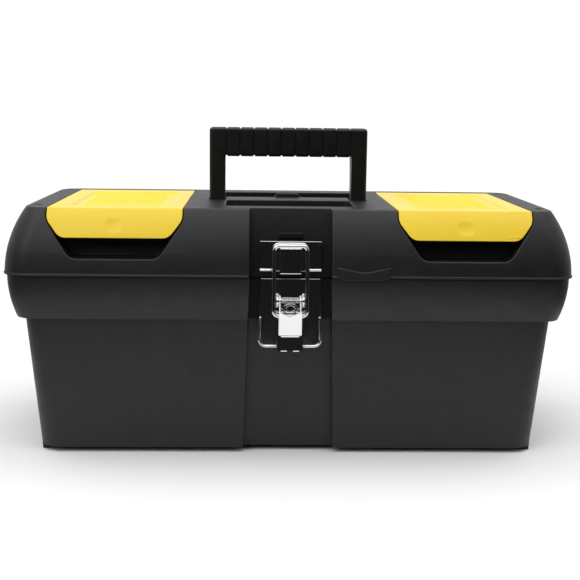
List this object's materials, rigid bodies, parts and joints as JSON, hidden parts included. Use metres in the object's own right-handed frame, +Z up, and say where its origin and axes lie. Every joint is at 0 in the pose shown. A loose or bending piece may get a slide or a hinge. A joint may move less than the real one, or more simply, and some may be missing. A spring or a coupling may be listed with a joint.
{
  "type": "carpenter toolbox",
  "caption": "Moulded carpenter's toolbox with a hinged lid, flip-up organizer lids, folding handle, metal loop latch and lift-out tray.",
  "frame": {"origin": "on the floor, under the middle of the whole box", "axes": "+X along the box to the right seen from the latch, +Y from the latch to the hinges, +Z up"},
  "size_m": [0.406, 0.2094, 0.235],
  "materials": {
    "black_plastic": "fine moulded texture, satin",
    "handle_plastic": "moulded, satin",
    "yellow_plastic": "smooth moulded, satin gloss",
    "tray_plastic": "moulded, satin",
    "chrome": "bright plated sheet and wire",
    "steel": "plain bright steel"
  },
  "bodies": {
    "tub": {"base_tub": "black_plastic", "lid_hinge_pin_left": "steel", "lid_hinge_pin_right": "steel", "latch_base_plate": "chrome", "latch_base_rivets": "steel", "latch_base_washers": "steel", "latch_lever_pin": "steel", "padlock_staple": "chrome"},
    "lid": {"lid_shell": "black_plastic", "handle_pin_left": "steel", "handle_pin_right": "steel", "strike_plate": "chrome", "strike_rivets": "steel", "strike_washers": "steel"},
    "organizer_left": {"organizer_lid_left": "yellow_plastic"},
    "organizer_right": {"organizer_lid_right": "yellow_plastic"},
    "carry_handle": {"handle": "handle_plastic"},
    "lever": {"latch_lever": "chrome", "lever_grip": "handle_plastic"},
    "loop": {"wire_loop": "chrome"},
    "tray": {"tote_tray": "tray_plastic"}
  },
  "joints": [
    {"name": "lid_hinge", "type": "hinge", "parent": "tub", "child": "lid", "pos_m": [0, 0.1005, 0.133], "axis": [-1, 0, 0], "range_deg": [0, 100]},
    {"name": "organizer_left_hinge", "type": "hinge", "parent": "lid", "child": "organizer_left", "pos_m": [-0.1236, 0.072, 0.177], "axis": [-1, 0, 0], "range_deg": [0, 95]},
    {"name": "organizer_right_hinge", "type": "hinge", "parent": "lid", "child": "organizer_right", "pos_m": [0.1236, 0.072, 0.177], "axis": [-1, 0, 0], "range_deg": [0, 95]},
    {"name": "handle_fold", "type": "hinge", "parent": "lid", "child": "carry_handle", "pos_m": [0, -0.002, 0.1725], "axis": [-1, 0, 0], "range_deg": [0, 90]},
    {"name": "lever_swing", "type": "hinge", "parent": "tub", "child": "lever", "pos_m": [0, -0.0986, 0.1165], "axis": [-1, 0, 0], "range_deg": [-5, 150]},
    {"name": "loop_swing", "type": "hinge", "parent": "lever", "child": "loop", "pos_m": [0, -0.1003, 0.106], "axis": [-1, 0, 0], "range_deg": [-240, 8]},
    {"name": "tray_lift", "type": "slide", "parent": "tub", "child": "tray", "axis": [0, 0, 1], "range_m": [0, 0.005]}
  ],
  "couplings": [
    {"joint": "loop_swing", "follows": "lever_swing", "ratio": -1.6}
  ]
}
